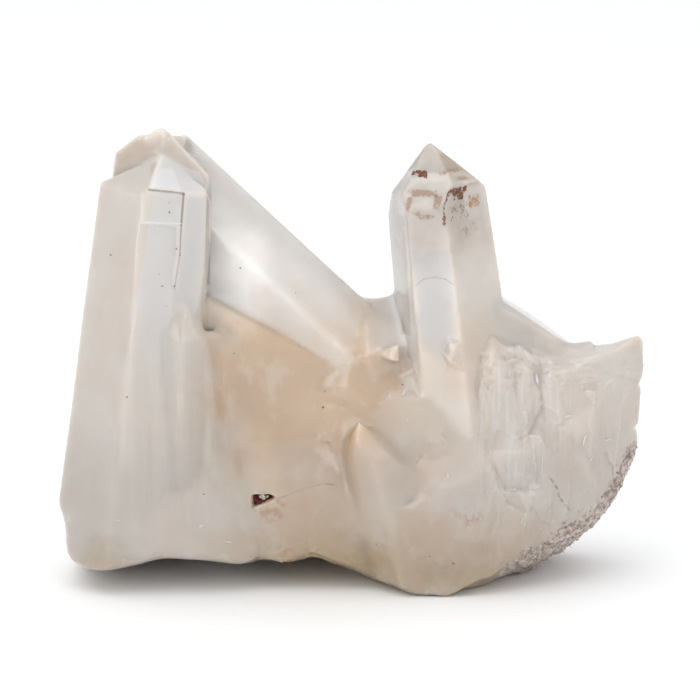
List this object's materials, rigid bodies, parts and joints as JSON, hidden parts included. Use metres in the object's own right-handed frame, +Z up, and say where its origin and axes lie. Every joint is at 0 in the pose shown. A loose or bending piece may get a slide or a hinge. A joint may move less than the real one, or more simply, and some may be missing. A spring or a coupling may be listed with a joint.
{
  "type": "quartz crystal cluster",
  "caption": "Milky quartz cluster: upright hexagonal points and a long slanting crystal grown together from one rough root, broken off flat underneath so that it stands.",
  "frame": {"origin": "middle of the width and depth, on the surface that the cluster stands on", "axes": "+Z up along the standing cluster, +X to the right along its width seen from the front, -Y towards the viewer"},
  "size_m": [0.1112, 0.0484, 0.0873],
  "materials": {
    "quartz": "milky, translucent, glassy growth faces; clearer towards the tips",
    "iron_stain": "matt red-brown iron oxide films and specks inside and on the quartz",
    "crust": "dull grey-brown earthy crust on the broken rim"
  },
  "bodies": {
    "root": {"quartz_cluster": "quartz"}
  },
  "joints": []
}
